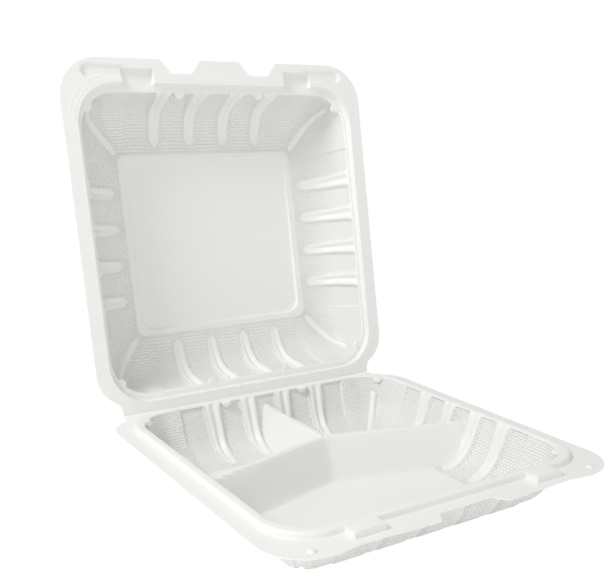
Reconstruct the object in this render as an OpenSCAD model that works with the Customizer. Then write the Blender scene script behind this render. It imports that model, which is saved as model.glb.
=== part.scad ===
// Hinged takeaway container with three compartments, thermoformed in one sheet.
// The origin is at the middle of the foot, on the floor. The latch side faces -Y,
// the living hinge runs along X at the back, and the lid stands open behind it.

/* [Sheet] */
// Thickness of the formed sheet
sheet = 0.5; // [0.4:0.05:0.7]
// Room between the two flanges when the lid is shut
shut_gap = 0.3; // [0.2:0.1:0.6]
// Running clearance round the rim and the latch blocks
fit_gap = 0.5; // [0.4:0.1:0.8]

/* [Lid pose] */
// Opening of the lid from shut
lid_open = 100.8; // [95:0.1:110]

/* [Outline] */
// Width of the flanges beside the rim
side_land = 10.2; // [8:0.1:14]
// Width of the flanges in front of the rim
front_land = 16.3; // [14.5:0.1:20]
// Distance from the hinge line to the rim
back_land = 7.7; // [7:0.1:10]
// How far the hinge stops short of each side edge
hinge_short = 14.8; // [12:0.1:20]
// Depth of the neck that carries the hinge
hinge_neck = 7; // [6:0.1:7.4]
// Radius of the front corners of the flanges
front_r = 27; // [20:1:32]
// Radius of the back corners of the flanges
back_r = 22; // [16:1:26]

/* [Rim] */
// Outside width of the raised rim of the base, the same both ways
rim_w = 209.6; // [206:0.2:214]
// Height of the rim over the flange
rim_h = 3.4; // [2.6:0.1:4.4]
// Width of the flat top of the rim
rim_top = 5.6; // [4:0.1:8]
// Outside corner radius of the rim
rim_r = 27; // [22:1:32]
// Clear height between the rim and the shelf of the lid
shelf_gap = 0.8; // [0.5:0.1:1.2]

/* [Base walls] */
// Depth of the base from the flange to the floor
base_depth = 32; // [26:1:44]
// Half width of the flat floor
base_floor_x = 69; // [60:1:74]
// Half length of the flat floor
base_floor_y = 67; // [60:1:74]

/* [Lid walls] */
// Depth of the lid from the flange to the ceiling
lid_depth = 36; // [28:1:46]
// Half width of the lid opening at the shelf
lid_mouth_x = 102.5; // [98:0.5:103]
// Half length of the lid opening at the shelf
lid_mouth_y = 100.5; // [96:0.5:103]
// Half width of the flat ceiling
lid_ceiling_x = 71.3; // [62:0.1:76]
// Half length of the flat ceiling
lid_ceiling_y = 65.5; // [60:0.1:76]
// Half width of the raised panel in the ceiling
panel_x = 65.2; // [50:0.1:66]
// Half length of the raised panel in the ceiling
panel_y = 60.1; // [48:0.1:61]
// Height of the raised panel
panel_h = 1.6; // [0.8:0.1:2.4]

/* [Wall form] */
// Inward lean of the walls for each millimetre of depth
wall_lean = 0.3; // [0.2:0.02:0.4]
// Share of the depth over which a wall is straight
wall_share = 0.45; // [0.35:0.05:0.6]
// Corner radius of the walls at the top
wall_r = 26; // [20:1:30]
// Corner radius of the walls at the floor
foot_r = 5.5; // [4:0.1:5.6]
// How far the textured panels stand out from the corners
panel_out = 1.3; // [0.6:0.1:1.8]
// How far the rib crests stand in from the corners
rib_in = 1.2; // [0.6:0.1:1.8]
// Pairs of ribs on each wall
rib_pairs = 4; // [3:1:4]
// Spacing of the rib pairs along the front and the back
rib_pitch_x = 28; // [24:0.5:29]
// Spacing of the rib pairs along the sides
rib_pitch_y = 26; // [22:0.5:27]
// Distance between the two crests of a pair
rib_twin = 7.8; // [6.5:0.1:9]
// Distance from the middle of a wall to the end of its panels, over the pitch
panel_end = 2.32; // [2.2:0.01:2.34]
// Share by which the ribs close up towards the floor
rib_taper = 0.04; // [0:0.01:0.06]

/* [Dividers] */
// Drop from the flange to the top of the dividers
ridge_drop = 5; // [3:0.5:10]
// Thickness of the dividers at the top
ridge_w = 4; // [3:0.5:6]
// Distance from the hinge line to the bend of the front divider
ridge_bend = 92; // [80:1:104]
// Forward slope of each arm of the front divider
ridge_slope = 0.27; // [0.1:0.01:0.4]
// Forward lean of the front face of the front divider, at the floor
front_lean = 11; // [6:1:14]
// Lean of the back faces of the dividers, at the floor
back_lean = 6.4; // [4:0.2:10]

/* [Latches] */
// Distance from the middle to each latch block
latch_x = 61.5; // [50:0.5:66]
// Length of a latch block
latch_w = 19.6; // [14:0.2:22]
// Depth of a latch block, front to back
latch_d = 8.5; // [6:0.1:9]
// Height of a latch block
latch_h = 3.7; // [2.5:0.1:4]
// Side clearance of a block in its socket
latch_gap = 1.4; // [0.8:0.1:2]

/* [Edge details] */
// Half width of the finger notch in the base, at its mouth
notch_x = 23.3; // [18:0.1:27]
// Depth of the finger notch in the base
notch_d = 8; // [5:0.5:9]
// Distance from the middle to each notch in the lid
lid_notch_at = 29.8; // [27:0.1:33]
// Half width of a lid notch at its mouth
lid_notch_x = 14.8; // [10:0.1:15]
// Depth of a lid notch
lid_notch_d = 9.2; // [6:0.1:9.5]
// Distance from the side edge to each button in the front ears
button_side = 19.7; // [16:0.1:24]
// Distance from the front edge to each button
button_in = 8.3; // [7:0.1:10]
// Depth of the shallow dips in the front edge beside the ears
ear_dip = 2.4; // [0:0.1:3]
// Radius of a button
button_r = 2.6; // [2:0.1:3.4]
// Height of a button
button_h = 1.4; // [1:0.1:1.8]
// Radius of the slanting ribs in the corners of the walls
corner_rib_r = 2.2; // [1.8:0.1:3]
// Radius of the lugs that keep stacked pieces apart
lug_r = 3.4; // [2.5:0.1:4]

/* [Hidden] */
$fn = 20;
hair = 0.01;
ARC_STEPS = 5;
RIB_LEVELS = [0.22, 0.55, 0.8];
foot_z = base_depth + sheet;
rim_half = rim_w / 2;
flange_w = rim_w + 2 * side_land;
hinge_y = rim_half + back_land;
flange_l = hinge_y + rim_half + front_land;
hinge_len = flange_w - 2 * hinge_short;
button_x = flange_w / 2 - button_side;
button_y = -rim_half - front_land + button_in;
shelf_z = rim_h + shelf_gap;
mouth_half = rim_half - rim_top;
step_half = rim_half + fit_gap;
wall_levels = [0, wall_share, 0.7, 1];
ridge_reach = rim_half + 20;

// Middle places of the rib pairs along one wall
function rib_places(pitch) = [for (i = [0 : rib_pairs - 1]) (i - (rib_pairs - 1) / 2) * pitch];

// Points of one pair: place along the wall, and shift inwards from the corners
function pair_points(c) = [
    [c - rib_twin, -panel_out],
    [c - rib_twin * 0.6, rib_in],
    [c - rib_twin * 0.4, rib_in],
    [c, -panel_out * 0.4],
    [c + rib_twin * 0.4, rib_in],
    [c + rib_twin * 0.6, rib_in],
    [c + rib_twin, -panel_out]
];

// The whole wall section from one panel end to the other
function wall_points(pitch) = concat(
    [[-pitch * panel_end - 1, 0], [-pitch * panel_end, -panel_out]],
    [for (c = rib_places(pitch), p = pair_points(c)) p],
    [[pitch * panel_end, -panel_out], [pitch * panel_end + 1, 0]]
);

// Wall profile by level t: share of the way in and share of the depth
function wall_curve(t, lean) =
    t <= wall_share ? [lean * t, t]
    : let (u = (t - wall_share) / (1 - wall_share))
        [pow(1 - u, 2) * lean * wall_share + 2 * u * (1 - u) * lean + u * u,
         pow(1 - u, 2) * wall_share + 2 * u * (1 - u) + u * u];

// Strength of the ribs by level: whole on the wall, none on the floor
function rib_fade(t) = t < 0.85 ? 1 : max(0, (1 - t) / 0.15);

// One corner of a ring as an arc round its centre
function corner_arc(hx, hy, r, quarter) =
    let (cx = (hx - r) * (quarter == 0 || quarter == 3 ? 1 : -1),
         cy = (hy - r) * (quarter < 2 ? 1 : -1))
    [for (i = [0 : ARC_STEPS]) let (a = quarter * 90 + i * 90 / ARC_STEPS)
        [cx + r * cos(a), cy + r * sin(a)]];

// One level of the walls, anticlockwise from the right end of the back wall
function wall_ring(hx, hy, r, fade, squeeze) =
    let (wx = wall_points(rib_pitch_x), wy = wall_points(rib_pitch_y), n = len(wx) - 1)
    concat(
        corner_arc(hx, hy, r, 0),
        [for (i = [n : -1 : 0]) [wx[i][0] * squeeze, hy - wx[i][1] * fade]],
        corner_arc(hx, hy, r, 1),
        [for (i = [n : -1 : 0]) [-hx + wy[i][1] * fade, wy[i][0] * squeeze]],
        corner_arc(hx, hy, r, 2),
        [for (i = [0 : n]) [wx[i][0] * squeeze, -hy + wx[i][1] * fade]],
        corner_arc(hx, hy, r, 3),
        [for (i = [0 : n]) [hx - wy[i][1] * fade, wy[i][0] * squeeze]]
    );

// Solid hollow form of a tray, opening upwards: mouth at z = 0, floor at z = -depth
module tray_core(mouth_x, mouth_y, floor_x, floor_y, depth, grow, rise) {
    run_x = mouth_x - floor_x;
    run_y = mouth_y - floor_y;
    lean_x = wall_lean * depth / run_x;
    lean_y = wall_lean * depth / run_y;
    rings = concat(
        [[mouth_x + grow, mouth_y + grow, wall_r, rise, 1, 1]],
        [for (t = wall_levels) [
            mouth_x - run_x * wall_curve(t, lean_x)[0] + grow,
            mouth_y - run_y * wall_curve(t, lean_y)[0] + grow,
            wall_r + (foot_r - wall_r) * t,
            -(depth + grow) * wall_curve(t, lean_x)[1],
            rib_fade(t),
            1 - rib_taper * t]]
    );
    outline = [for (g = rings) wall_ring(g[0], g[1], g[2], g[4], g[5])];
    count = len(outline[0]);
    points = [for (k = [0 : len(rings) - 1], p = outline[k]) [p[0], p[1], rings[k][3]]];
    last = (len(rings) - 1) * count;
    polyhedron(points, concat(
        [[for (i = [count - 1 : -1 : 0]) i]],
        [for (k = [0 : len(rings) - 2], i = [0 : count - 1])
            let (j = (i + 1) % count)
            [k * count + i, k * count + j, (k + 1) * count + j, (k + 1) * count + i]],
        [[for (i = [0 : count - 1]) last + i]]
    ));
}

// Rounded rectangle about the origin
module round_plate(hx, hy, r) {
    offset(r)
        square([2 * (hx - r), 2 * (hy - r)], center = true);
}

// Flange outline with its hinge neck, the hinge line at y = 0 and the front at -Y
module flange_outline(hx) {
    neck = hinge_neck;
    offset(-4)
        offset(4)
            union() {
                hull()
                    for (s = [-1, 1]) {
                        translate([s * (hx - back_r), -neck - back_r])
                            circle(back_r);
                        translate([s * (hx - front_r), -flange_l + front_r])
                            circle(front_r);
                    }
                translate([-hinge_len / 2, -neck - back_r])
                    square([hinge_len, neck + back_r - shut_gap / 2]);
            }
}

// Trapezoid bite in a front edge, y = 0 at the edge and the bite going +Y
module edge_bite(mouth, foot, deep) {
    offset(-1.5)
        offset(3)
            offset(-1.5)
                polygon([[-mouth - 3, -9], [mouth + 3, -9], [mouth, 0], [foot, deep], [-foot, deep],
                    [-mouth, 0]]);
}

// Shallow dip in the front edge, deepest at the outer end of a latch block
module ear_cut(s) {
    deep_x = s * latch_w * 0.45;
    polygon([[-s * latch_w * 1.7, -1], [-s * latch_w * 1.7, 0], [deep_x, ear_dip],
        [s * latch_w * 1.2, 0], [s * latch_w * 1.2, -1]]);
}

// Half dome that stands in from a wall, under the mouth
module lug(grow) {
    hull() {
        translate([0, 0, -2.4])
            sphere(lug_r * 0.5 + grow, $fn = 6);
        translate([0, 0, 2])
            cylinder(r = lug_r + grow, h = 1, $fn = 8);
    }
}

// Lugs along the walls of a tray
module lugs(mouth_x, mouth_y, grow) {
    for (s = [-1, 1], k = [-1, 1]) {
        translate([k * rib_pitch_x * 1.1, s * (mouth_y + panel_out), 0])
            lug(grow);
        translate([s * (mouth_x + panel_out), k * rib_pitch_y * 1.1, 0])
            lug(grow);
    }
}

// Point of a corner's wall on its diagonal, by level
function corner_point(mouth, floor_half, depth, t) =
    let (c = wall_curve(t, wall_lean * depth / (mouth - floor_half)), r = wall_r + (foot_r - wall_r) * t)
    [mouth - (mouth - floor_half) * c[0] - r * (1 - cos(45)), -depth * c[1]];

// Slanting rib that runs down the wall in each corner of a tray, with round ends
module corner_ribs(mouth_x, mouth_y, floor_x, floor_y, depth, grow) {
    for (sx = [-1, 1], sy = [-1, 1], k = [0 : len(RIB_LEVELS) - 2])
        hull()
            for (t = [RIB_LEVELS[k], RIB_LEVELS[k + 1]]) {
                px = corner_point(mouth_x, floor_x, depth, t);
                py = corner_point(mouth_y, floor_y, depth, t);
                translate([sx * (px[0] + 0.4), sy * (py[0] + 0.4), px[1]])
                    sphere(corner_rib_r + grow, $fn = 6);
            }
}

// Front compartment between two levels, its back faces leaning with the divider
module front_zone(grow) {
    hull() {
        translate([0, 0, shelf_z])
            front_plan(grow, 0);
        translate([0, 0, -base_depth - 2])
            front_plan(grow, front_lean);
    }
}

module front_plan(grow, lean) {
    bend_y = hinge_y - ridge_bend - lean + grow;
    end_y = bend_y - ridge_slope * ridge_reach;
    linear_extrude(hair)
        polygon([[0, bend_y], [ridge_reach, end_y], [ridge_reach, -ridge_reach],
            [-ridge_reach, -ridge_reach], [-ridge_reach, end_y]]);
}

// One back compartment, on the side given by s
module back_zone(s, grow) {
    hull() {
        translate([0, 0, shelf_z])
            back_plan(s, grow, 0);
        translate([0, 0, -base_depth - 2])
            back_plan(s, grow, back_lean);
    }
}

module back_plan(s, grow, lean) {
    bend_y = hinge_y - ridge_bend + ridge_w + lean - grow;
    end_y = bend_y - ridge_slope * ridge_reach;
    inner_x = ridge_w / 2 + lean - grow;
    corner_cut = 5;
    linear_extrude(hair)
        polygon([[s * inner_x, ridge_reach], [s * inner_x, bend_y + corner_cut],
            [s * (inner_x + corner_cut), bend_y - ridge_slope * (inner_x + corner_cut)],
            [s * ridge_reach, end_y], [s * ridge_reach, ridge_reach]]);
}

// Space inside the base, down from the rim, split below the divider tops
module base_space(grow) {
    difference() {
        intersection() {
            translate([0, 0, rim_h])
                tray_core(mouth_half, mouth_half, base_floor_x, base_floor_y,
                    base_depth + rim_h, grow, 4);
            union() {
                front_zone(grow);
                back_zone(-1, grow);
                back_zone(1, grow);
                translate([0, 0, -ridge_drop - grow + 30])
                    cube([2 * ridge_reach, 2 * ridge_reach, 60], center = true);
            }
        }
        translate([0, 0, rim_h])
            base_relief(-grow);
    }
}

// Lugs and corner ribs that stand into the base
module base_relief(grow) {
    lugs(mouth_half, mouth_half, grow);
    corner_ribs(mouth_half, mouth_half, base_floor_x, base_floor_y, base_depth + rim_h, grow);
}

// Rim of the base as a solid plateau, smaller by shrink
module rim_plateau(shrink) {
    hull() {
        translate([0, 0, -sheet - 4 * shrink])
            linear_extrude(hair)
                round_plate(rim_half - shrink, rim_half - shrink, rim_r - shrink);
        translate([0, 0, rim_h - shrink - 0.6])
            linear_extrude(hair)
                round_plate(rim_half - shrink, rim_half - shrink, rim_r - shrink);
        translate([0, 0, rim_h - shrink])
            linear_extrude(hair)
                round_plate(rim_half - shrink - 0.6, rim_half - shrink - 0.6, rim_r - shrink);
    }
}

// Latch block against the front of the rim, smaller by shrink
module latch_block(shrink) {
    hull() {
        translate([-latch_w / 2 + shrink, -rim_half - latch_d + shrink, -sheet - 4 * shrink])
            cube([latch_w - 2 * shrink, latch_d + 2, sheet]);
        translate([-latch_w / 2 + shrink + 0.4, -rim_half - latch_d + shrink + 0.4, 0])
            cube([latch_w - 2 * shrink - 0.8, latch_d + 2, latch_h - shrink]);
    }
}

// Round button in an ear of the base, smaller by shrink
module button(shrink) {
    hull() {
        translate([0, 0, -sheet - 4 * shrink])
            cylinder(r = button_r - shrink, h = hair, $fn = 12);
        translate([0, 0, button_h - shrink - 0.5])
            cylinder(r = button_r * 0.7 - shrink, h = 0.5, $fn = 12);
    }
}

// Base with its rim, walls, dividers, latch blocks and half of the hinge
module base_tray() {
    color("whitesmoke")
        translate([0, 0, foot_z])
            difference() {
                union() {
                    base_flange();
                    rim_plateau(0);
                    base_space(sheet);
                    raised_marks(0);
                }
                difference() {
                    union() {
                        rim_plateau(sheet);
                        raised_marks(sheet);
                    }
                    base_space(sheet);
                }
                base_space(0);
                translate([0, 0, rim_h])
                    linear_extrude(10)
                        round_plate(rim_half - 1, rim_half - 1, rim_r - 1);
            }
}

module raised_marks(shrink) {
    for (s = [-1, 1]) {
        translate([s * latch_x, 0, 0])
            latch_block(shrink);
        translate([s * button_x, button_y, 0])
            button(shrink);
    }
}

module base_flange() {
    translate([0, hinge_y, -sheet - shut_gap / 2])
        linear_extrude(sheet)
            difference() {
                flange_outline(flange_w / 2);
                translate([0, -flange_l])
                    edge_bite(notch_x, notch_x - 5, notch_d);
                for (s = [-1, 1])
                    translate([s * latch_x, -flange_l])
                        ear_cut(s);
            }
}

// Space inside the lid, shut and upside down over the base: mouth at the flange
module lid_space(grow) {
    mirror([0, 0, 1])
        difference() {
            union() {
                translate([0, 0, -shelf_z])
                    tray_core(lid_mouth_x, lid_mouth_y, lid_ceiling_x, lid_ceiling_y,
                        lid_depth - shelf_z, grow, 4);
                translate([0, 0, -shelf_z - grow])
                    linear_extrude(shelf_z + grow + 2)
                        round_plate(step_half + grow, step_half + grow, rim_r + fit_gap + grow);
                for (s = [-1, 1]) {
                    latch_socket(s * latch_x, grow);
                    button_pocket(s, grow);
                }
                lid_panel(grow);
            }
            translate([0, 0, -shelf_z - grow])
                difference() {
                    union() {
                        lugs(lid_mouth_x, lid_mouth_y, -grow);
                        corner_ribs(lid_mouth_x, lid_mouth_y, lid_ceiling_x, lid_ceiling_y,
                            lid_depth - shelf_z, -grow);
                    }
                    linear_extrude(10)
                        square(2 * ridge_reach, center = true);
                }
        }
}

module latch_socket(at_x, grow) {
    half = latch_w / 2 + latch_gap + grow;
    front = rim_half + latch_d + latch_gap + grow;
    translate([at_x, 0, 0])
        hull() {
            translate([-half + 0.6, -front + 0.6, -shelf_z - grow])
                cube([2 * half - 1.2, 20, 1]);
            translate([-half, -front, 0])
                cube([2 * half, 20, 2]);
        }
}

// Shallow pocket from a socket to the corner, which clears the button when shut
module button_pocket(s, grow) {
    inner_x = latch_x + latch_w / 2 + latch_gap;
    hull()
        for (at = [button_x, inner_x])
            translate([s * at, button_y, -button_h - grow])
                cylinder(r = button_r + latch_gap + grow, h = button_h + grow + 2);
}

module lid_panel(grow) {
    hull() {
        translate([0, 0, -lid_depth - panel_h - grow])
            linear_extrude(hair)
                round_plate(panel_x - 2 + grow, panel_y - 2 + grow, 9);
        translate([0, 0, -lid_depth + 0.5 - grow])
            linear_extrude(hair)
                round_plate(panel_x + grow, panel_y + grow, 10);
    }
}

// Lid with its flange, step, walls, sockets and the other half of the hinge
module lid() {
    color("snow")
        translate([0, hinge_y, foot_z])
            rotate([-lid_open, 0, 0])
                translate([0, -hinge_y, shut_gap / 2])
                    difference() {
                        union() {
                            lid_flange();
                            intersection() {
                                lid_space(sheet);
                                linear_extrude(lid_depth + 20)
                                    square(2 * flange_l, center = true);
                            }
                        }
                        lid_space(0);
                    }
}

module lid_flange() {
    translate([0, hinge_y, 0])
        linear_extrude(sheet)
            difference() {
                flange_outline(flange_w / 2);
                for (s = [-1, 1])
                    translate([s * lid_notch_at, -flange_l])
                        edge_bite(lid_notch_x, lid_notch_x - 7.2, lid_notch_d);
            }
}

base_tray();
lid();
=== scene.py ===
"""Looks of the hinged takeaway container: the formed sheet in full detail, its finish, and the studio.

Each half is a thin sheet lofted over rings that run round it, from the edge of its flange to the
middle of its floor. Lengths are in millimetres until a mesh is made.
"""

import bpy
import numpy as np
from mathutils import Matrix, Vector


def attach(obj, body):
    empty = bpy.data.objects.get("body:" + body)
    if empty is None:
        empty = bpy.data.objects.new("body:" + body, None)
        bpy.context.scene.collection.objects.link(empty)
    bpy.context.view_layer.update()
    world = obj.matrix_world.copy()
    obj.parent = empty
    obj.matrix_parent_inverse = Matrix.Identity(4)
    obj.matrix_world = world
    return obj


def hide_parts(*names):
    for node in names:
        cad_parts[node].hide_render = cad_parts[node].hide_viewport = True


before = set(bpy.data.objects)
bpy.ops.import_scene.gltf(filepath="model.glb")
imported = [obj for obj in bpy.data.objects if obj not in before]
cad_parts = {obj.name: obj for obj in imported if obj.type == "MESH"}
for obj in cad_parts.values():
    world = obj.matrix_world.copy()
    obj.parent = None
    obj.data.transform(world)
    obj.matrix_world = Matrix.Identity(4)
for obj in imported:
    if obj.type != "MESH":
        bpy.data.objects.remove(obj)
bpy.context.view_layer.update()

# Sheet
MM = 0.001
SHEET = 0.5
SHUT_GAP = 0.3

# Flange and the neck at the hinge
FLANGE_HALF = 115.0
FLANGE_L = 233.6
HINGE_HALF = 100.2
HINGE_NECK = 7.0
NECK_HALF = 20.0
NECK_BLEND = 4.0
FRONT_R = 27.0
BACK_R = 22.0

# Raised rim of the base, and the step of the lid that goes over it
RIM_HALF = 104.8
RIM_R = 27.0
RIM_H = 3.4
RIM_TOP = 5.6
RIM_MID = 112.5
RIM_OUTSIDE = 0.9
FIT_GAP = 0.5
SHELF = 4.2
STEP_IN = 1.3

# Walls, floors and the lid's raised panel; pairs are half sizes along X and Y
BASE_DEPTH = 32.0
BASE_FLOOR = (69.0, 67.0)
LID_DEPTH = 36.0
LID_MOUTH = (102.5, 100.5)
LID_CEILING = (71.3, 65.5)
LID_PANEL = (65.2, 60.1)
PANEL_H = 1.6
PANEL_R = 10.0
PANEL_BORDER = 6.0
WALL_LEAN = 0.3
WALL_SHARE = 0.45
WALL_R = 26.0
FOOT_R = 5.5
CORNER_INSET = 0.29

# Ribs and panels of the walls; RUN is the nominal half length of a straight stretch
RUN = 70.5
PANEL_OUT = 1.3
PANEL_END = 2.32
PANEL_EDGE = 0.7
RIB_IN = 1.2
RIB_TWIN = 7.8
RIB_PITCH = (28.0, 26.0)
RIB_PAIRS = 4
RIB_REACH = 1.06
RIB_TAPER = 0.04
RIB_NARROWING = 0.3
RIB_START = 2.6
RIB_FADE = 0.12

# Lugs near the mouth: place in rib pitches, place round a corner in degrees, and size
LUG_AT = 1.1
LUG_TURN = 39
LUG_R = 3.4
LUG_TOP = 1.0
LUG_DOWN = 4.0
CORNER_LUG_IN = 2.4
WALL_LUG_IN = PANEL_OUT + 2.2

# Ribs in the corners: wall levels of both ends, and size
CORNER_RIB = (0.38, 0.94)
CORNER_RIB_R = 2.5
CORNER_RIB_IN = 2.1
CORNER_RIB_CHORD = 0.12
CORNER_RIB_FADE = 45

# Dividers of the base
RIDGE_DROP = 5.0
RIDGE_W = 4.0
RIDGE_BEND = 92.0
RIDGE_SLOPE = 0.27
RIDGE_SOFT = 3.0
RIDGE_BLEND = 2.4
RIDGE_MEET = 6.0
RIDGE_FOOT = 3.6
FRONT_LEAN = 11.0
BACK_LEAN = 6.4

# Latch blocks and sockets
LATCH_X = 61.5
LATCH_W = 19.6
LATCH_D = 8.5
LATCH_H = 3.7
LATCH_GAP = 1.4
LATCH_IN = 2
LATCH_ZONE = 46
LATCH_SOFT = 0.3

# Notches: half width at the mouth, half width at the foot, and depth
NOTCH = (23.3, 18.3, 8.0)
LID_NOTCH_AT = 29.8
LID_NOTCH = (14.8, 7.6, 9.2)

# Dips in the front edge of the base: places from the middle, and depths there
EAR_DIP = ((28.2, 70.3, 85.0), (0.0, 2.4, 0.0))

# Buttons of the base, and the pockets of the lid that clear them
BUTTON_X = 95.3
BUTTON_Y = -112.8
BUTTON_R = 2.6
BUTTON_H = 1.4
POCKET_SOFT = 1.6
POCKET_START = 0.3

# Dots of the lid: rows with distance out from the step, added radius, height and corners
DOT_R = 0.6
DOT_H = 0.2
DOT_PITCH = 2.5
DOT_ARC = (8, 82)
DOT_ROWS = ((3.0, 3.5, 0.0, (2, 3)), (6.2, 6.7, 0.0, (2, 3)), (-2.6, -2.2, -SHELF, (0, 1, 2, 3)))

# Stippled area: how far it goes on the floor, where it starts, and how it closes under the ribs
FLOOR_STIPPLE = 1.8
STIPPLE_TOP = 1.4
STIPPLE_FAR = 3.0
STIPPLE_RIB = 0.7
STIPPLE_CLOSES = 0.9
STIPPLE_CLOSING = 0.1
STIPPLE_OVER = 7

# Hinge
HINGE_Y = RIM_MID
HINGE_Z = BASE_DEPTH + SHEET
LID_OPEN = 100.8

# Sections as (inset, height), from outside to inside; the panel's heights go downwards
RIM_SECTION = (
    (0, 0.1), (0.2, 1.2), (0.4, 2.3), (0.6, 2.95), (0.85, 3.25),
    (1.3, RIM_H), (2.6, RIM_H), (4.0, RIM_H), (4.8, RIM_H), (5.25, 3.25),
)
STEP_SECTION = (
    (0, -0.2), (0.15, -0.8), (0.3, -1.8), (0.45, -2.9), (0.6, -3.7), (0.9, -4.1), (STEP_IN, -SHELF),
)
PANEL_SECTION = ((0, 0.02), (0.25, 0.2), (0.6, 0.9), (0.95, 1.45), (1.3, PANEL_H))

# Section of a rib pair: place in shares of RIB_TWIN, and shift inwards
RIB_SECTION = (
    (-1, -PANEL_OUT), (-0.6, RIB_IN), (-0.4, RIB_IN), (0, -PANEL_OUT * 0.8),
    (0.4, RIB_IN), (0.6, RIB_IN), (1, -PANEL_OUT),
)

# Fineness of the mesh; evenly spaced parts are (first, last, count)
CORNER_TURNS = ((3, 28, 8), (30, 60, 21), (62, 87, 8))
WALL_LEVELS = ((0.012, 0.15, 10), (0.18, 0.45, 8), (0.475, 1, 22))
RIB_STEPS = (0.0, 0.2, 0.4, 0.5, 0.6, 0.8, 1.0, RIB_REACH)
LUG_STEPS = (-1.1, 1.1, 13)
EDGE_STEP = 0.25
OUTER_STEP = 0.1
COLUMN_PITCH = 1.5
COLUMN_CLEAR = 0.7
COLUMN_MIN = 0.09
OUTER_SHARES = (1.0, 0.97, 0.9, 0.8, 0.7, 0.6, 0.5, 0.4, 0.3, 0.2, 0.1)
INNER_RINGS = (7.4, 6.3, 5.2, 4.1, 3.0, 2.0, 1.2, 0.6, 0.25)
INNER_SHARE = 0.6
BASE_FLOOR_RINGS = 72
LID_PANEL_RINGS = 20
CENTRE_SHARE = 0.004
MEAN_RING = (90.0, 90.0, 22.0)
DOME_SIDES = 10
DOME_SECTION = ((1.0, -0.25), (1.0, 0.0), (0.86, 0.5), (0.55, 0.84), (0.2, 1.0))
REACH_MAX = 45.0
HALVINGS = 30
TRIANGLES = 190000
SHARP_ANGLE = 32
AWAY = 99.0
TINY = 1e-9

# Finish of the sheet
TONE = (0.9, 0.893, 0.872)
# Darker share of the tone: the dark end of the random mottling, and also painted shade in the sunk gaps of
# the stipple
DARK_MOTTLE_AND_VALLEY_SHADE = 0.985
ROUGHNESS = 0.36
PLASTIC_IOR = 1.49
SPECK_EDGE = (0.008, 0.016)
SPECK_TONE = (0.45, 0.42, 0.38, 1)
STIPPLE_BLOCK = {"Mortar Size": 0.31, "Mortar Smooth": 1.0, "Brick Width": 2.7, "Row Height": 1.9}
STIPPLE_EDGE = 0.15
WHITE = (1, 1, 1, 1)
BLACK = (0, 0, 0, 1)

# Camera fitted to the photograph: pixels, then degrees, then millimetres from the hinge
PHOTO = (610, 586)
FOCAL = 883.07
CENTRE = (321.52, 365.24)
CAMERA_TURN = (-33.203, 15.976, 0.278)
CAMERA_AT = (-294.54, -537.17, 195.85)
SENSOR = 36.0

# Studio: places in metres and power in watts
KEY = {"place": (-1.05, -0.1, 1.1), "aim": (0, 0.05, 0.08), "size": 0.5, "power": 10.0}
FILL = {"place": (-0.3, -1.6, 0.25), "aim": (0, 0.02, 0.05), "size": 1.2, "power": 2.2}
WORLD_LIGHT = 0.62
FLOOR_HALF = 6.0
FLOOR_DROP = 0.0002
FLOOR_TONE = (0.9, 0.9, 0.9, 1)
FLOOR_ROUGHNESS = 0.8
FLOOR_EMISSION = 0.22
FLOOR_GLOW = 1.04
FLOOR_BLEND = 0.9


def smooth_min(a, b, k):
    """Smaller of two heights, rounded over k millimetres."""
    h = np.clip(0.5 + 0.5 * (b - a) / k, 0, 1)
    return b + (a - b) * h - k * h * (1 - h)


def smooth_max(a, b, k):
    """Larger of two heights, rounded over k millimetres."""
    return -smooth_min(-a, -b, k)


def ease(x):
    """Rises from 0 to 1 with soft ends."""
    x = np.clip(x, 0, 1)
    return x * x * (3 - 2 * x)


def near_box(x, low, high, soft):
    """1 between low and high, falling to 0 over soft outside them."""
    return ease((x - low) / soft + 1) * ease((high - x) / soft + 1)


def spread(parts):
    """Values of evenly spaced parts, one after another."""
    return np.concatenate([np.linspace(*part) for part in parts])


def shrinking(count):
    """Shares of full size for rings that close in on the middle."""
    return [max(1 - i / count, CENTRE_SHARE) for i in range(1, count + 1)]


def rib_places(k):
    """Middles of the rib pairs along wall k."""
    return (np.arange(RIB_PAIRS) - (RIB_PAIRS - 1) / 2) * RIB_PITCH[k % 2]


def corner_radius(t):
    """Plan radius of the corners at wall level t."""
    return WALL_R + (FOOT_R - WALL_R) * t


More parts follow.
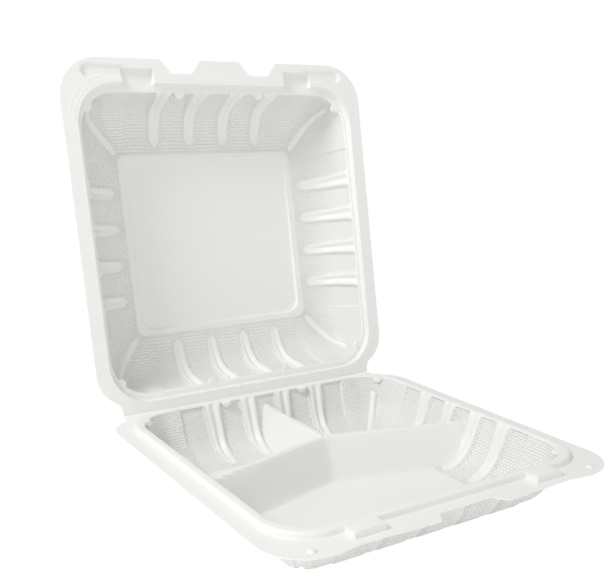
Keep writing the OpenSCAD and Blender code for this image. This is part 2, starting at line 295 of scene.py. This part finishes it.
class Columns:
    """Places round the loop: straight stretches with rib marks, and corner arcs."""

    def __init__(self):
        side, place, turn = [], [], []
        arc = spread(CORNER_TURNS)
        for q in range(4):
            side.append(np.full(len(arc), -1 - q))
            place.append(np.zeros(len(arc)))
            turn.append(q * 90 + arc)
            run = self.marks(q % 2)
            run = run[::-1] if q in (0, 1) else run
            side.append(np.full(len(run), q))
            place.append(run)
            turn.append(np.full(len(run), (q + 1) * 90.0))
        self.side = np.concatenate(side)
        self.place = np.concatenate(place)
        self.turn = np.radians(np.concatenate(turn))
        self.count = len(self.side)
        self.nx, self.ny = np.cos(self.turn), np.sin(self.turn)

    @staticmethod
    def marks(k):
        """Places along a wall: evenly spaced, with exact ones on ribs, lugs, latches and notches."""
        end = RIB_PITCH[k] * PANEL_END
        exact = [RUN, end, end + PANEL_EDGE]
        for c in rib_places(k):
            for step in RIB_STEPS:
                exact += [c - step * RIB_TWIN, c + step * RIB_TWIN]
        exact += list(RIB_PITCH[k] * LUG_AT + np.linspace(*LUG_STEPS) * LUG_R)
        if k == 0:
            squeeze = (RUN - end) / (RIM_HALF - RIM_R - end)
            for edge in (LATCH_W / 2, LATCH_W / 2 + LATCH_GAP):
                inner = LATCH_X - edge
                outer = end + (LATCH_X + edge - end) * squeeze
                exact += [inner - EDGE_STEP, inner, inner + EDGE_STEP]
                exact += [outer - OUTER_STEP, outer, outer + OUTER_STEP]
            exact += [NOTCH[0], NOTCH[1]]
            for edge in LID_NOTCH[:2]:
                exact += [LID_NOTCH_AT - edge, LID_NOTCH_AT + edge]
        exact = np.unique(np.round(np.concatenate([exact, -np.array(exact)]), 3))
        even = np.arange(-RUN, RUN, COLUMN_PITCH)
        even = even[np.abs(even[:, None] - exact).min(1) > COLUMN_CLEAR]
        both = np.sort(np.concatenate([exact, even]))
        return both[np.append(True, np.diff(both) > COLUMN_MIN)]

    def ring(self, hx, hy, r, taper=None, narrow=1.0):
        """Plan points of one rounded rectangle; taper closes the ribs up, narrow thins each pair."""
        q = np.where(self.side < 0, -1 - self.side, 0)
        x = np.where((q == 0) | (q == 3), 1, -1) * (hx - r) + r * self.nx
        y = np.where(q < 2, 1, -1) * (hy - r) + r * self.ny
        pair = RIB_REACH * RIB_TWIN * np.tile([-1, 0, 1], RIB_PAIRS)
        for k in range(4):
            half = (hx, hy)[k % 2]
            end = RIB_PITCH[k % 2] * PANEL_END
            limit = half - r
            inner = limit * end / RUN if taper is None else min(end * (1 - taper), limit - 0.3)
            middles = np.repeat(rib_places(k), 3)
            knots = np.concatenate([[-RUN, -end], middles + pair, [end, RUN]])
            moved = np.concatenate([[-RUN, -end], middles + pair * narrow, [end, RUN]])
            place = np.interp(self.place, knots, moved)
            size = np.abs(place)
            past = inner + (size - end) * (limit - inner) / (RUN - end)
            along = np.sign(place) * np.where(size <= end, size * inner / end, past)
            on = self.side == k
            if k % 2 == 0:
                x = np.where(on, along, x)
                y = np.where(on, (1, 0, -1)[k] * hy, y)
            else:
                x = np.where(on, (0, -1, 0, 1)[k] * hx, x)
                y = np.where(on, along, y)
        return x, y


COLS = Columns()


def rib_shift(cols):
    """Shift inwards from the corner level, and distance in millimetres from the nearest rib."""
    shift = np.zeros(cols.count)
    clear = np.full(cols.count, STIPPLE_FAR)
    for k in range(4):
        end = RIB_PITCH[k % 2] * PANEL_END
        section = [(-end - PANEL_EDGE, 0.0), (-end, -PANEL_OUT)]
        away = np.full(cols.count, STIPPLE_FAR)
        for c in rib_places(k):
            section += [(c + share * RIB_TWIN, inward) for share, inward in RIB_SECTION]
            away = np.minimum(away, np.abs(cols.place - c) - RIB_TWIN * STIPPLE_RIB)
        section += [(end, -PANEL_OUT), (end + PANEL_EDGE, 0.0)]
        at, inward = np.array(section).T
        on = cols.side == k
        shift = np.where(on, np.interp(cols.place, at, inward), shift)
        clear = np.where(on, away, clear)
    return shift, clear


RIB_SHIFT, RIB_CLEAR = rib_shift(COLS)


def wall_curve(t, lean):
    """Share of the way in and share of the depth at level t."""
    u = np.clip((t - WALL_SHARE) / (1 - WALL_SHARE), 0, 1)
    inward = (1 - u) ** 2 * lean * WALL_SHARE + 2 * u * (1 - u) * lean + u * u
    down = (1 - u) ** 2 * WALL_SHARE + 2 * u * (1 - u) + u * u
    straight = t <= WALL_SHARE
    return np.where(straight, lean * t, inward), np.where(straight, t, down)


class Loft:
    """Rings of points, from the flange edge to the middle."""

    def __init__(self):
        self.rows = []

    def add(self, x, y, z, v, stipple=-STIPPLE_FAR):
        """One ring: place, distance travelled down the sheet, and distance into the stipple."""
        row = (x, y, z, v, stipple)
        self.rows.append([np.broadcast_to(np.asarray(a, float), (COLS.count,)) for a in row])

    def arrays(self):
        """The five values of every point, each as an array of rings by columns."""
        return list(np.array(self.rows).transpose(1, 0, 2))


def outline_value(x, y):
    """Negative inside the flange outline with its hinge neck."""
    top = RIM_MID - HINGE_NECK
    bottom = RIM_MID - FLANGE_L
    mid, half = (top + bottom) / 2, (top - bottom) / 2
    r = np.where(y > mid, BACK_R, FRONT_R)
    qx, qy = np.abs(x) - FLANGE_HALF + r, np.abs(y - mid) - half + r
    body = np.hypot(np.maximum(qx, 0), np.maximum(qy, 0)) + np.minimum(np.maximum(qx, qy), 0) - r
    neck_y = np.abs(y - RIM_MID + NECK_HALF) - NECK_HALF + SHUT_GAP / 2
    neck = np.maximum(np.abs(x) - HINGE_HALF, neck_y)
    return smooth_min(body, neck, NECK_BLEND)


def base_cut(x):
    """Depth of the finger notch and the ear dips at place x of the front edge."""
    mouth, foot, deep = NOTCH
    return np.interp(np.abs(x), (foot, mouth), (deep, 0)) + np.interp(np.abs(x), *EAR_DIP)


def lid_cut(x):
    """Depth of the two notches at place x of the lid's front edge."""
    mouth, foot, deep = LID_NOTCH
    return np.interp(np.abs(np.abs(x) - LID_NOTCH_AT), (foot, mouth), (deep, 0))


def edge_reach(x, y, cut):
    """Distance from each point to the flange edge along its normal, slightly smoothed round the loop."""
    low, high = np.zeros(len(x)), np.full(len(x), REACH_MAX)
    for _ in range(HALVINGS):
        mid = (low + high) / 2
        px, py = x + COLS.nx * mid, y + COLS.ny * mid
        front = RIM_MID - FLANGE_L + cut(px) - py
        inside = np.maximum(outline_value(px, py), front) < 0
        low, high = np.where(inside, mid, low), np.where(inside, high, mid)
    around = np.concatenate([low[-1:], low, low[:1]])
    return np.convolve(around, [0.2, 0.6, 0.2], "valid")


def add_flange(loft, half, r, cut, raised):
    """Rings from the flange edge in to the foot of the rim or the mouth of the step."""
    x, y = COLS.ring(half, half, r, 0.0)
    reach = edge_reach(x, y, cut)
    front = (COLS.ny < -0.99) & (np.abs(x) > LATCH_ZONE)
    full = LATCH_D + LATCH_GAP + LATCH_SOFT
    wide = np.where(front, 1.0, np.clip(reach * INNER_SHARE / full, 0, 1))
    distances = [full * wide + (reach - full * wide) * share for share in OUTER_SHARES]
    inner = (full, full - LATCH_SOFT, LATCH_D + LATCH_SOFT, LATCH_D, *INNER_RINGS)
    distances += [distance * wide for distance in inner]
    for d in distances:
        px, py = x + COLS.nx * d, y + COLS.ny * d
        loft.add(px, py, raised(px, py), -d)


def latch_area(x, y, half_width, reach):
    """Whether points are over a latch, from 0 to 1: once along X and once along Y."""
    low, high = LATCH_X - half_width + LATCH_SOFT, LATCH_X + half_width - LATCH_SOFT
    inside_x = near_box(np.abs(x), low, high, LATCH_SOFT)
    return inside_x, near_box(-y, RIM_HALF - LATCH_IN, reach, LATCH_SOFT)


def base_raised(x, y):
    """Height of the base flange with its latch blocks."""
    inside_x, inside_y = latch_area(x, y, LATCH_W / 2, RIM_HALF + LATCH_D)
    return LATCH_H * inside_x * inside_y - SHUT_GAP / 2


def lid_raised(x, y):
    """Height, never above 0, of the sockets and the shallow button pockets in the lid flange."""
    wide = LATCH_W / 2 + LATCH_GAP
    inside_x, inside_y = latch_area(x, y, wide, RIM_HALF + LATCH_D + LATCH_GAP)
    near = np.clip(np.abs(x), LATCH_X + wide - 1, BUTTON_X)
    away = np.hypot(np.abs(x) - near, y - BUTTON_Y) - BUTTON_R - LATCH_GAP
    pocket = BUTTON_H * ease(-away / POCKET_SOFT + POCKET_START)
    return -np.maximum(SHELF * inside_x * inside_y, pocket)


def corner_chord(t, mouth, floor, depth):
    """Gap between the wall of a corner and the straight line that its rib follows."""
    def place(level):
        inward, down = wall_curve(np.float64(level), WALL_LEAN * depth / (mouth - floor))
        return mouth - (mouth - floor) * inward - CORNER_INSET * corner_radius(level), depth * down
    (out, high), (into, low), (here, at) = place(CORNER_RIB[0]), place(CORNER_RIB[1]), place(t)
    return max(0.0, here - out - (into - out) * (at - high) / (low - high))


def bulge(out):
    """Height of a rounded form: 1 at its middle, and 0 from distance 1 outwards."""
    return np.sqrt(np.clip(1 - out ** 2, 0, 1))


def wall_details(t, depth_at, chord):
    """Inward shifts of the lugs and the corner ribs, and the distance in millimetres from both."""
    side, place = COLS.side, COLS.place
    corner, front = side < 0, (side == 0) | (side == 2)
    turn = np.degrees(COLS.turn) % 90
    turn = np.where(side % 2 == 0, 90 - turn, turn)
    in_corner = np.where(corner, np.radians(np.abs(turn - LUG_TURN)) * corner_radius(t), AWAY)
    on_wall = np.where(front, np.abs(np.abs(place) - RIB_PITCH[0] * LUG_AT), AWAY)
    below = max(0.0, depth_at - LUG_TOP) / LUG_DOWN
    from_lug = np.hypot(np.minimum(in_corner, on_wall) / LUG_R, below)
    lug = bulge(from_lug) * np.where(corner, CORNER_LUG_IN, WALL_LUG_IN)
    clear = np.minimum(STIPPLE_FAR, (from_lug - 1) * LUG_R)
    aside = np.radians(np.abs(turn - 45)) * corner_radius(t) / CORNER_RIB_R
    past = max(0.0, CORNER_RIB[0] - t, t - CORNER_RIB[1]) * CORNER_RIB_FADE / CORNER_RIB_R
    from_rib = np.where(corner, np.hypot(aside, past), AWAY)
    rib = bulge(from_rib) * (CORNER_RIB_IN + CORNER_RIB_CHORD * chord)
    return lug, rib, np.minimum(clear, (from_rib - 1) * CORNER_RIB_R)


def add_walls(loft, mouth, floor, depth, top):
    """Rings down the walls of one half from the mouth at height top; gives the distance travelled."""
    run = (mouth[0] - floor[0], mouth[1] - floor[1])
    travelled, last = 0.0, None
    for t in spread(WALL_LEVELS):
        inx, share = wall_curve(np.float64(t), WALL_LEAN * depth / run[0])
        iny, _ = wall_curve(np.float64(t), WALL_LEAN * depth / run[1])
        hx, hy, down = mouth[0] - run[0] * inx, mouth[1] - run[1] * iny, depth * share
        x, y = COLS.ring(hx, hy, corner_radius(t), RIB_TAPER * t, 1 - RIB_NARROWING * t)
        lug, rib, clear = wall_details(t, down, corner_chord(t, mouth[0], floor[0], depth))
        fade = np.clip((1 - t) / RIB_FADE, 0, 1)
        shift = RIB_SHIFT * fade * ease(down / RIB_START) + rib + lug
        travelled += 0 if last is None else float(np.hypot(hx - last[0], down - last[1]))
        last = (hx, down)
        rib_end = STIPPLE_OVER * max(0.0, (t - STIPPLE_CLOSES) / STIPPLE_CLOSING)
        stipple = np.minimum(np.minimum(RIB_CLEAR + rib_end, clear), down - STIPPLE_TOP)
        loft.add(x - COLS.nx * shift, y - COLS.ny * shift, top - down, travelled, stipple)
    return travelled


def add_floor(loft, floor, height, count, travelled):
    """Rings over a flat floor, all of them the last wall ring made smaller."""
    x, y = COLS.ring(*floor, FOOT_R, RIB_TAPER, 1 - RIB_NARROWING)
    for share in shrinking(count):
        gone = (1 - share) * floor[0]
        loft.add(x * share, y * share, height, travelled + gone, FLOOR_STIPPLE - gone)


def divider_height(x, y):
    """Height of the dividers over the base floor, from the flange plane."""
    fall = BASE_DEPTH - RIDGE_DROP
    top = np.full_like(x, -RIDGE_DROP)
    bend = RIM_MID - RIDGE_BEND - RIDGE_SLOPE * (np.sqrt(x * x + RIDGE_SOFT ** 2) - RIDGE_SOFT)
    front = -RIDGE_DROP - (bend - y) * fall / FRONT_LEAN
    back = -RIDGE_DROP - (y - bend - RIDGE_W) * fall / BACK_LEAN
    arms = smooth_min(smooth_min(top, front, RIDGE_BLEND), back, RIDGE_BLEND)
    part = -RIDGE_DROP - (np.abs(x) - RIDGE_W / 2) * fall / BACK_LEAN
    part = smooth_min(top, part, RIDGE_BLEND)
    part = np.where(y > bend + RIDGE_W / 2, part, -BASE_DEPTH * 2)
    return smooth_max(arms, part, RIDGE_MEET)


def build_base():
    """Rings of the base, with its dividers raised out of the floor."""
    loft = Loft()
    add_flange(loft, RIM_HALF, RIM_R, base_cut, base_raised)
    for inset, z in RIM_SECTION:
        r = RIM_R + (WALL_R - RIM_R) * inset / RIM_TOP
        x, y = COLS.ring(RIM_HALF - inset, RIM_HALF - inset, r, 0.0)
        height = np.maximum(z, base_raised(x, y)) if inset < RIM_OUTSIDE else z
        loft.add(x, y, height, inset)
    mouth = RIM_HALF - RIM_TOP
    done = add_walls(loft, (mouth, mouth), BASE_FLOOR, BASE_DEPTH + RIM_H, RIM_H)
    add_floor(loft, BASE_FLOOR, -BASE_DEPTH, BASE_FLOOR_RINGS, done)
    x, y, z, v, stipple = loft.arrays()
    within = (np.maximum(np.abs(x), np.abs(y)) < mouth + 0.5) & (z < -1)
    ridge = divider_height(x, y)
    raised = np.where(within, smooth_max(z, ridge, RIDGE_FOOT), z)
    return x, y, raised, v, np.minimum(stipple, (z - ridge) * 0.5)


def build_lid():
    """Rings of the lid, as it lies with its mouth up."""
    loft = Loft()
    step = RIM_HALF + FIT_GAP
    add_flange(loft, step, RIM_R + FIT_GAP, lid_cut, lid_raised)
    for inset, z in STEP_SECTION:
        x, y = COLS.ring(step - inset, step - inset, RIM_R + FIT_GAP - inset, 0.0)
        loft.add(x, y, np.minimum(z, lid_raised(x, y)), inset)
    for share in (0.4, 0.8):
        hx, hy = [step - STEP_IN + (mouth - step + STEP_IN) * share for mouth in LID_MOUTH]
        x, y = COLS.ring(hx, hy, RIM_R - 1, 0.0)
        loft.add(x, y, -SHELF, 2.0)
    done = add_walls(loft, LID_MOUTH, LID_CEILING, LID_DEPTH - SHELF, -SHELF)
    x, y = loft.rows[-1][:2]
    px, py = COLS.ring(*LID_PANEL, PANEL_R)
    for share in (0.25, 0.5, 0.75):
        gone = PANEL_BORDER * share
        loft.add(x + (px - x) * share, y + (py - y) * share, -LID_DEPTH, done + gone, FLOOR_STIPPLE - gone)
    for inset, drop in PANEL_SECTION:
        x, y = COLS.ring(LID_PANEL[0] - inset, LID_PANEL[1] - inset, PANEL_R - inset * 0.5)
        loft.add(x, y, -LID_DEPTH - drop, done + PANEL_BORDER + inset, -1 - inset)
    for share in shrinking(LID_PANEL_RINGS):
        loft.add(x * share, y * share, -LID_DEPTH - PANEL_H, done + 10 + (1 - share) * 60)
    return loft.arrays()


def corner_dots(half, r, z, quarters):
    """Centres of a row of dots round some corners of a ring."""
    dots = []
    for q in quarters:
        cx = (half - r) * (1 if q in (0, 3) else -1)
        cy = (half - r) * (1 if q < 2 else -1)
        for a in np.radians(np.arange(*DOT_ARC, np.degrees(DOT_PITCH / r)) + q * 90):
            dots.append((cx + r * np.cos(a), cy + r * np.sin(a), z))
    return dots


def lid_dots():
    """Centres of all the dots of the lid."""
    dots = []
    for out, more, z, corners in DOT_ROWS:
        dots += corner_dots(RIM_HALF + FIT_GAP + out, RIM_R + more, z, corners)
    return dots


def dome_parts(centres, radius, height):
    """Points and faces of small closed domes."""
    turn = np.arange(DOME_SIDES) * 2 * np.pi / DOME_SIDES
    points, faces = [], []
    for cx, cy, cz in centres:
        start = len(points)
        for share, up in DOME_SECTION:
            z = cz + (height * up if up >= 0 else up)
            for c, s in zip(np.cos(turn), np.sin(turn)):
                points.append((cx + radius * share * c, cy + radius * share * s, z))
        for k in range(len(DOME_SECTION) - 1):
            low, high = start + k * DOME_SIDES, start + (k + 1) * DOME_SIDES
            for i in range(DOME_SIDES):
                j = (i + 1) % DOME_SIDES
                faces.append([low + i, low + j, high + j, high + i])
        faces.append([start + i for i in range(DOME_SIDES - 1, -1, -1)])
        faces.append([high + i for i in range(DOME_SIDES)])
    return np.array(points), faces


def under_skin(top):
    """Points of the other skin, one thickness below the seen one."""
    across = np.roll(top, -1, 1) - np.roll(top, 1, 1)
    down = np.empty_like(top)
    down[1:-1] = top[2:] - top[:-2]
    down[0], down[-1] = top[1] - top[0], top[-1] - top[-2]
    normal = np.cross(across, down)
    length = np.linalg.norm(normal, axis=-1, keepdims=True)
    normal = np.where(length > TINY, normal / np.maximum(length, TINY), [0, 0, 1])
    normal = np.where(normal[..., 2:] < 0, -normal, normal)
    return top - normal * SHEET


def sheet_faces(rows, n):
    """Faces of both skins, of the edge between them, and of the small middles that are left."""
    i, j = np.meshgrid(np.arange(rows - 1), np.arange(n), indexing="ij")
    k = (j + 1) % n
    quads = np.stack([i * n + j, i * n + k, (i + 1) * n + k, (i + 1) * n + j], -1).reshape(-1, 4)
    under = rows * n
    rim = np.arange(n)
    after = (rim + 1) % n
    edge = np.stack([rim, rim + under, after + under, after], -1)
    last = (rows - 1) * n + rim
    faces = quads.tolist() + (quads[:, ::-1] + under).tolist() + edge.tolist()
    return faces + [last.tolist(), (last[::-1] + under).tolist()]


def sheet_uv(v):
    """Distances round and down the sheet, in millimetres, for each corner of its faces in order."""
    rows, n = v.shape
    i, j = np.meshgrid(np.arange(rows - 1), np.arange(n), indexing="ij")
    k = (j + 1) % n
    x, y = COLS.ring(*MEAN_RING, RIB_TAPER / 2)
    steps = np.hypot(np.roll(x, -1) - x, np.roll(y, -1) - y)
    along = np.concatenate([[0.0], np.cumsum(steps)])
    quad_u = np.stack([along[j], along[j + 1], along[j + 1], along[j]], -1).reshape(-1, 4)
    quad_v = np.stack([v[i, j], v[i, k], v[i + 1, k], v[i + 1, j]], -1).reshape(-1, 4)
    edge_u = np.stack([along[:-1], along[:-1], along[1:], along[1:]], -1)
    u_all = np.concatenate([quad_u.ravel(), quad_u[:, ::-1].ravel(), edge_u.ravel(), np.zeros(2 * n)])
    v_all = np.concatenate([quad_v.ravel(), quad_v[:, ::-1].ravel(), np.zeros(6 * n)])
    return np.stack([u_all, v_all], -1)


def sheet_mesh(name, rings, place, flip, domes):
    """Closed thin sheet from the rings: the seen skin, its offset on the other side, and small domes."""
    x, y, z, v, stipple = rings
    top = np.stack([x, y, z], -1)
    skins = np.concatenate([top.reshape(-1, 3), under_skin(top).reshape(-1, 3)])
    dome_points, dome_faces = dome_parts(*domes)
    faces = sheet_faces(*v.shape) + [[c + len(skins) for c in face] for face in dome_faces]
    points = np.concatenate([skins, dome_points])
    if flip:
        points = points * [1, 1, -1]
    turn, offset = place
    points = points @ turn.T + offset
    mesh = bpy.data.meshes.new(name)
    mesh.from_pydata((points * MM).tolist(), [], faces)
    uv = sheet_uv(v)
    uv_values = np.zeros((len(mesh.loops), 2), dtype=np.float32)
    uv_values[:len(uv)] = uv
    mesh.uv_layers.new(name="sheet").data.foreach_set("uv", uv_values.ravel())
    marks = np.full(len(points), -STIPPLE_FAR, dtype=np.float32)
    marks[:len(skins)] = np.tile(np.clip(stipple, -STIPPLE_FAR, STIPPLE_FAR).ravel(), 2)
    mesh.attributes.new("stipple", "FLOAT", "POINT").data.foreach_set("value", marks)
    if flip:
        mesh.flip_normals()
    mesh.update()
    obj = bpy.data.objects.new(name, mesh)
    bpy.context.scene.collection.objects.link(obj)
    return obj


def lid_place():
    """Turns the shut lid to its open pose."""
    a = np.radians(-LID_OPEN)
    turn = np.array([[1, 0, 0], [0, np.cos(a), -np.sin(a)], [0, np.sin(a), np.cos(a)]])
    shut = np.array([0, -HINGE_Y, SHUT_GAP / 2])
    return turn, turn @ shut + np.array([0, HINGE_Y, HINGE_Z])


def thin_out(obj, faces):
    """Keeps the shape with about that many triangles."""
    total = sum(len(p.vertices) - 2 for p in obj.data.polygons)
    if total <= faces:
        return
    mod = obj.modifiers.new("thin", "DECIMATE")
    mod.ratio = faces / total
    bpy.context.view_layer.objects.active = obj
    bpy.ops.object.modifier_apply(modifier=mod.name)


def node_maker(owner):
    """Functions that add a node with its values, and link two sockets."""
    tree = owner.node_tree

    def make(kind, **values):
        node = tree.nodes.new(kind)
        for key, value in values.items():
            if key in node.inputs:
                node.inputs[key].default_value = value
            else:
                setattr(node, key, value)
        return node
    return make, tree.links.new


def set_inputs(node, values):
    """Sets sockets of a node by name."""
    for key, value in values.items():
        node.inputs[key].default_value = value


def mottled_colour(make, link, coords, tone, dark_mottle_and_valley_shade_tone):
    """Tone with faint mottling and a few dark specks."""
    mottle = make("ShaderNodeTexNoise", Scale=18.0, Detail=4.0)
    link(coords.outputs["Object"], mottle.inputs["Vector"])
    speck = make("ShaderNodeTexVoronoi", Scale=55.0, Randomness=1.0)
    link(coords.outputs["Object"], speck.inputs["Vector"])
    ramp = make("ShaderNodeValToRGB")
    for element, position, colour in zip(ramp.color_ramp.elements, SPECK_EDGE, (SPECK_TONE, WHITE)):
        element.position = position
        element.color = colour
    link(speck.outputs["Distance"], ramp.inputs["Fac"])
    shade = make("ShaderNodeMix", data_type="RGBA")
    shade.inputs[6].default_value = dark_mottle_and_valley_shade_tone
    shade.inputs[7].default_value = tone
    link(mottle.outputs["Fac"], shade.inputs[0])
    both = make("ShaderNodeMix", data_type="RGBA", blend_type="MULTIPLY")
    both.inputs[0].default_value = 0.5
    link(shade.outputs[2], both.inputs[6])
    link(ramp.outputs["Color"], both.inputs[7])
    return both.outputs[2]


def stipple_masks(make, link):
    """Sockets that are 1 in the stippled area, and 1 on the raised blocks of its pattern."""
    uv = make("ShaderNodeUVMap", uv_map="sheet")
    brick = make("ShaderNodeTexBrick", Scale=1.0, offset=0.5)
    set_inputs(brick, {"Color1": WHITE, "Color2": WHITE, "Mortar": BLACK, **STIPPLE_BLOCK})
    link(uv.outputs["UV"], brick.inputs["Vector"])
    distance = make("ShaderNodeAttribute", attribute_name="stipple")
    area = make("ShaderNodeMapRange")
    set_inputs(area, {"From Min": -STIPPLE_EDGE, "From Max": STIPPLE_EDGE})
    link(distance.outputs["Fac"], area.inputs["Value"])
    pressed = make("ShaderNodeMath", operation="MULTIPLY")
    link(brick.outputs["Color"], pressed.inputs[0])
    link(area.outputs["Result"], pressed.inputs[1])
    return area.outputs["Result"], pressed.outputs[0]


def sheet_normal(make, link, coords, pressed):
    """Normal with the stipple and a fine grain."""
    stipple_bump = make("ShaderNodeBump", Strength=0.72, Distance=0.0005)
    link(pressed, stipple_bump.inputs["Height"])
    fine = make("ShaderNodeTexNoise", Scale=260.0, Detail=3.0)
    link(coords.outputs["Object"], fine.inputs["Vector"])
    fine_bump = make("ShaderNodeBump", Strength=0.12, Distance=0.0002)
    link(fine.outputs["Fac"], fine_bump.inputs["Height"])
    link(stipple_bump.outputs["Normal"], fine_bump.inputs["Normal"])
    return fine_bump.outputs["Normal"]


def sheet_material(name):
    """Satin white filled plastic with faint mottling, dark specks, pressed stipple, and painted shade in
    the stipple's sunk gaps.
    """
    mat = bpy.data.materials.new(name)
    mat.use_nodes = True
    make, link = node_maker(mat)
    shader = mat.node_tree.nodes["Principled BSDF"]
    set_inputs(shader, {"Roughness": ROUGHNESS, "IOR": PLASTIC_IOR})
    tone, dark_mottle_and_valley_shade_tone = (*TONE, 1), (*[c * DARK_MOTTLE_AND_VALLEY_SHADE for c in TONE], 1)
    coords = make("ShaderNodeTexCoord")
    area, pressed = stipple_masks(make, link)
    # Painted shade: the sunk gaps between the stipple's raised blocks take the darker tone instead of the
    # mottled one
    valley_shade_mask = make("ShaderNodeMath", operation="SUBTRACT")
    link(area, valley_shade_mask.inputs[0])
    link(pressed, valley_shade_mask.inputs[1])
    colour_with_valley_shade = make("ShaderNodeMix", data_type="RGBA")
    link(valley_shade_mask.outputs[0], colour_with_valley_shade.inputs[0])
    link(mottled_colour(make, link, coords, tone, dark_mottle_and_valley_shade_tone), colour_with_valley_shade.inputs[6])
    colour_with_valley_shade.inputs[7].default_value = dark_mottle_and_valley_shade_tone
    link(colour_with_valley_shade.outputs[2], shader.inputs["Base Color"])
    link(sheet_normal(make, link, coords, pressed), shader.inputs["Normal"])
    return mat


def camera():
    """Camera that sees the container as the photograph does."""
    az, el, roll = np.radians(CAMERA_TURN)
    back = np.array([np.sin(az) * np.cos(el), -np.cos(az) * np.cos(el), np.sin(el)])
    right = np.cross(-back, [0, 0, 1])
    right /= np.linalg.norm(right)
    up = np.cross(right, -back)
    turned_right = np.cos(roll) * right + np.sin(roll) * up
    turned_up = -np.sin(roll) * right + np.cos(roll) * up
    data = bpy.data.cameras.new("photo_camera")
    width, height = PHOTO
    data.sensor_width = SENSOR
    data.lens = FOCAL / width * SENSOR
    data.shift_x = (width / 2 - CENTRE[0]) / width
    data.shift_y = (CENTRE[1] - height / 2) / width
    data.clip_start = 0.01
    obj = bpy.data.objects.new("photo_camera", data)
    bpy.context.scene.collection.objects.link(obj)
    turn = Matrix([turned_right, turned_up, back]).transposed()
    place = Vector((CAMERA_AT[0], CAMERA_AT[1] + HINGE_Y, CAMERA_AT[2] + HINGE_Z)) * MM
    obj.matrix_world = Matrix.Translation(place) @ turn.to_4x4()
    bpy.context.scene.camera = obj


def area_light(name, place, aim, size, power):
    """Round soft light that looks at a point."""
    data = bpy.data.lights.new(name, "AREA")
    data.shape = "DISK"
    data.size = size
    data.energy = power
    obj = bpy.data.objects.new(name, data)
    obj.location = place
    obj.rotation_euler = (Vector(aim) - Vector(place)).to_track_quat("-Z", "Y").to_euler()
    bpy.context.scene.collection.objects.link(obj)


def white_world():
    """World that lights softly and that the camera sees as plain white."""
    world = bpy.data.worlds.new("studio")
    bpy.context.scene.world = world
    world.use_nodes = True
    make, link = node_maker(world)
    light = world.node_tree.nodes["Background"]
    set_inputs(light, {"Color": WHITE, "Strength": WORLD_LIGHT})
    seen = make("ShaderNodeBackground", Color=WHITE, Strength=1.0)
    ray = make("ShaderNodeLightPath")
    pick = make("ShaderNodeMixShader")
    link(ray.outputs["Is Camera Ray"], pick.inputs["Fac"])
    link(light.outputs[0], pick.inputs[1])
    link(seen.outputs[0], pick.inputs[2])
    link(pick.outputs[0], world.node_tree.nodes["World Output"].inputs["Surface"])


def floor_material():
    """White that takes a soft shadow and that the camera sees as glowing."""
    mat = bpy.data.materials.new("floor_white")
    mat.use_nodes = True
    make, link = node_maker(mat)
    shader = mat.node_tree.nodes["Principled BSDF"]
    set_inputs(shader, {"Base Color": FLOOR_TONE, "Roughness": FLOOR_ROUGHNESS})
    set_inputs(shader, {"Emission Color": WHITE, "Emission Strength": FLOOR_EMISSION})
    glow = make("ShaderNodeEmission", Strength=FLOOR_GLOW)
    blend = make("ShaderNodeMixShader", Fac=FLOOR_BLEND)
    link(shader.outputs[0], blend.inputs[1])
    link(glow.outputs[0], blend.inputs[2])
    ray = make("ShaderNodeLightPath")
    pick = make("ShaderNodeMixShader")
    link(ray.outputs["Is Camera Ray"], pick.inputs["Fac"])
    link(shader.outputs[0], pick.inputs[1])
    link(blend.outputs[0], pick.inputs[2])
    link(pick.outputs[0], mat.node_tree.nodes["Material Output"].inputs["Surface"])
    return mat


def studio():
    """White floor and world with two soft lights."""
    white_world()
    area_light("key", **KEY)
    area_light("fill", **FILL)
    floor = bpy.data.meshes.new("floor")
    s = FLOOR_HALF
    floor.from_pydata([(-s, -s, 0), (s, -s, 0), (s, s, 0), (-s, s, 0)], [], [(0, 1, 2, 3)])
    obj = bpy.data.objects.new("floor", floor)
    obj.location.z = -FLOOR_DROP
    bpy.context.scene.collection.objects.link(obj)
    floor.materials.append(floor_material())


buttons = [(sx * BUTTON_X, BUTTON_Y, -SHUT_GAP / 2) for sx in (-1, 1)]
base_place = (np.eye(3), np.array([0, 0, HINGE_Z]))
base = sheet_mesh("base_tray_sheet", build_base(), base_place, False, (buttons, BUTTON_R, BUTTON_H))
lid = sheet_mesh("lid_sheet", build_lid(), lid_place(), True, (lid_dots(), DOT_R, DOT_H))
halves = ((base, "base", "base_tray", "tray_sheet"), (lid, "lid", "lid", "lid_sheet"))
for obj, body, node, slot in halves:
    thin_out(obj, TRIANGLES)
    obj.data.shade_smooth()
    obj.data.set_sharp_from_angle(angle=np.radians(SHARP_ANGLE))
    obj.data.materials.append(sheet_material(slot + "_plastic"))
    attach(obj, body)
    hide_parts(node)
camera()
studio()
bpy.context.scene.view_settings.view_transform = "Standard"
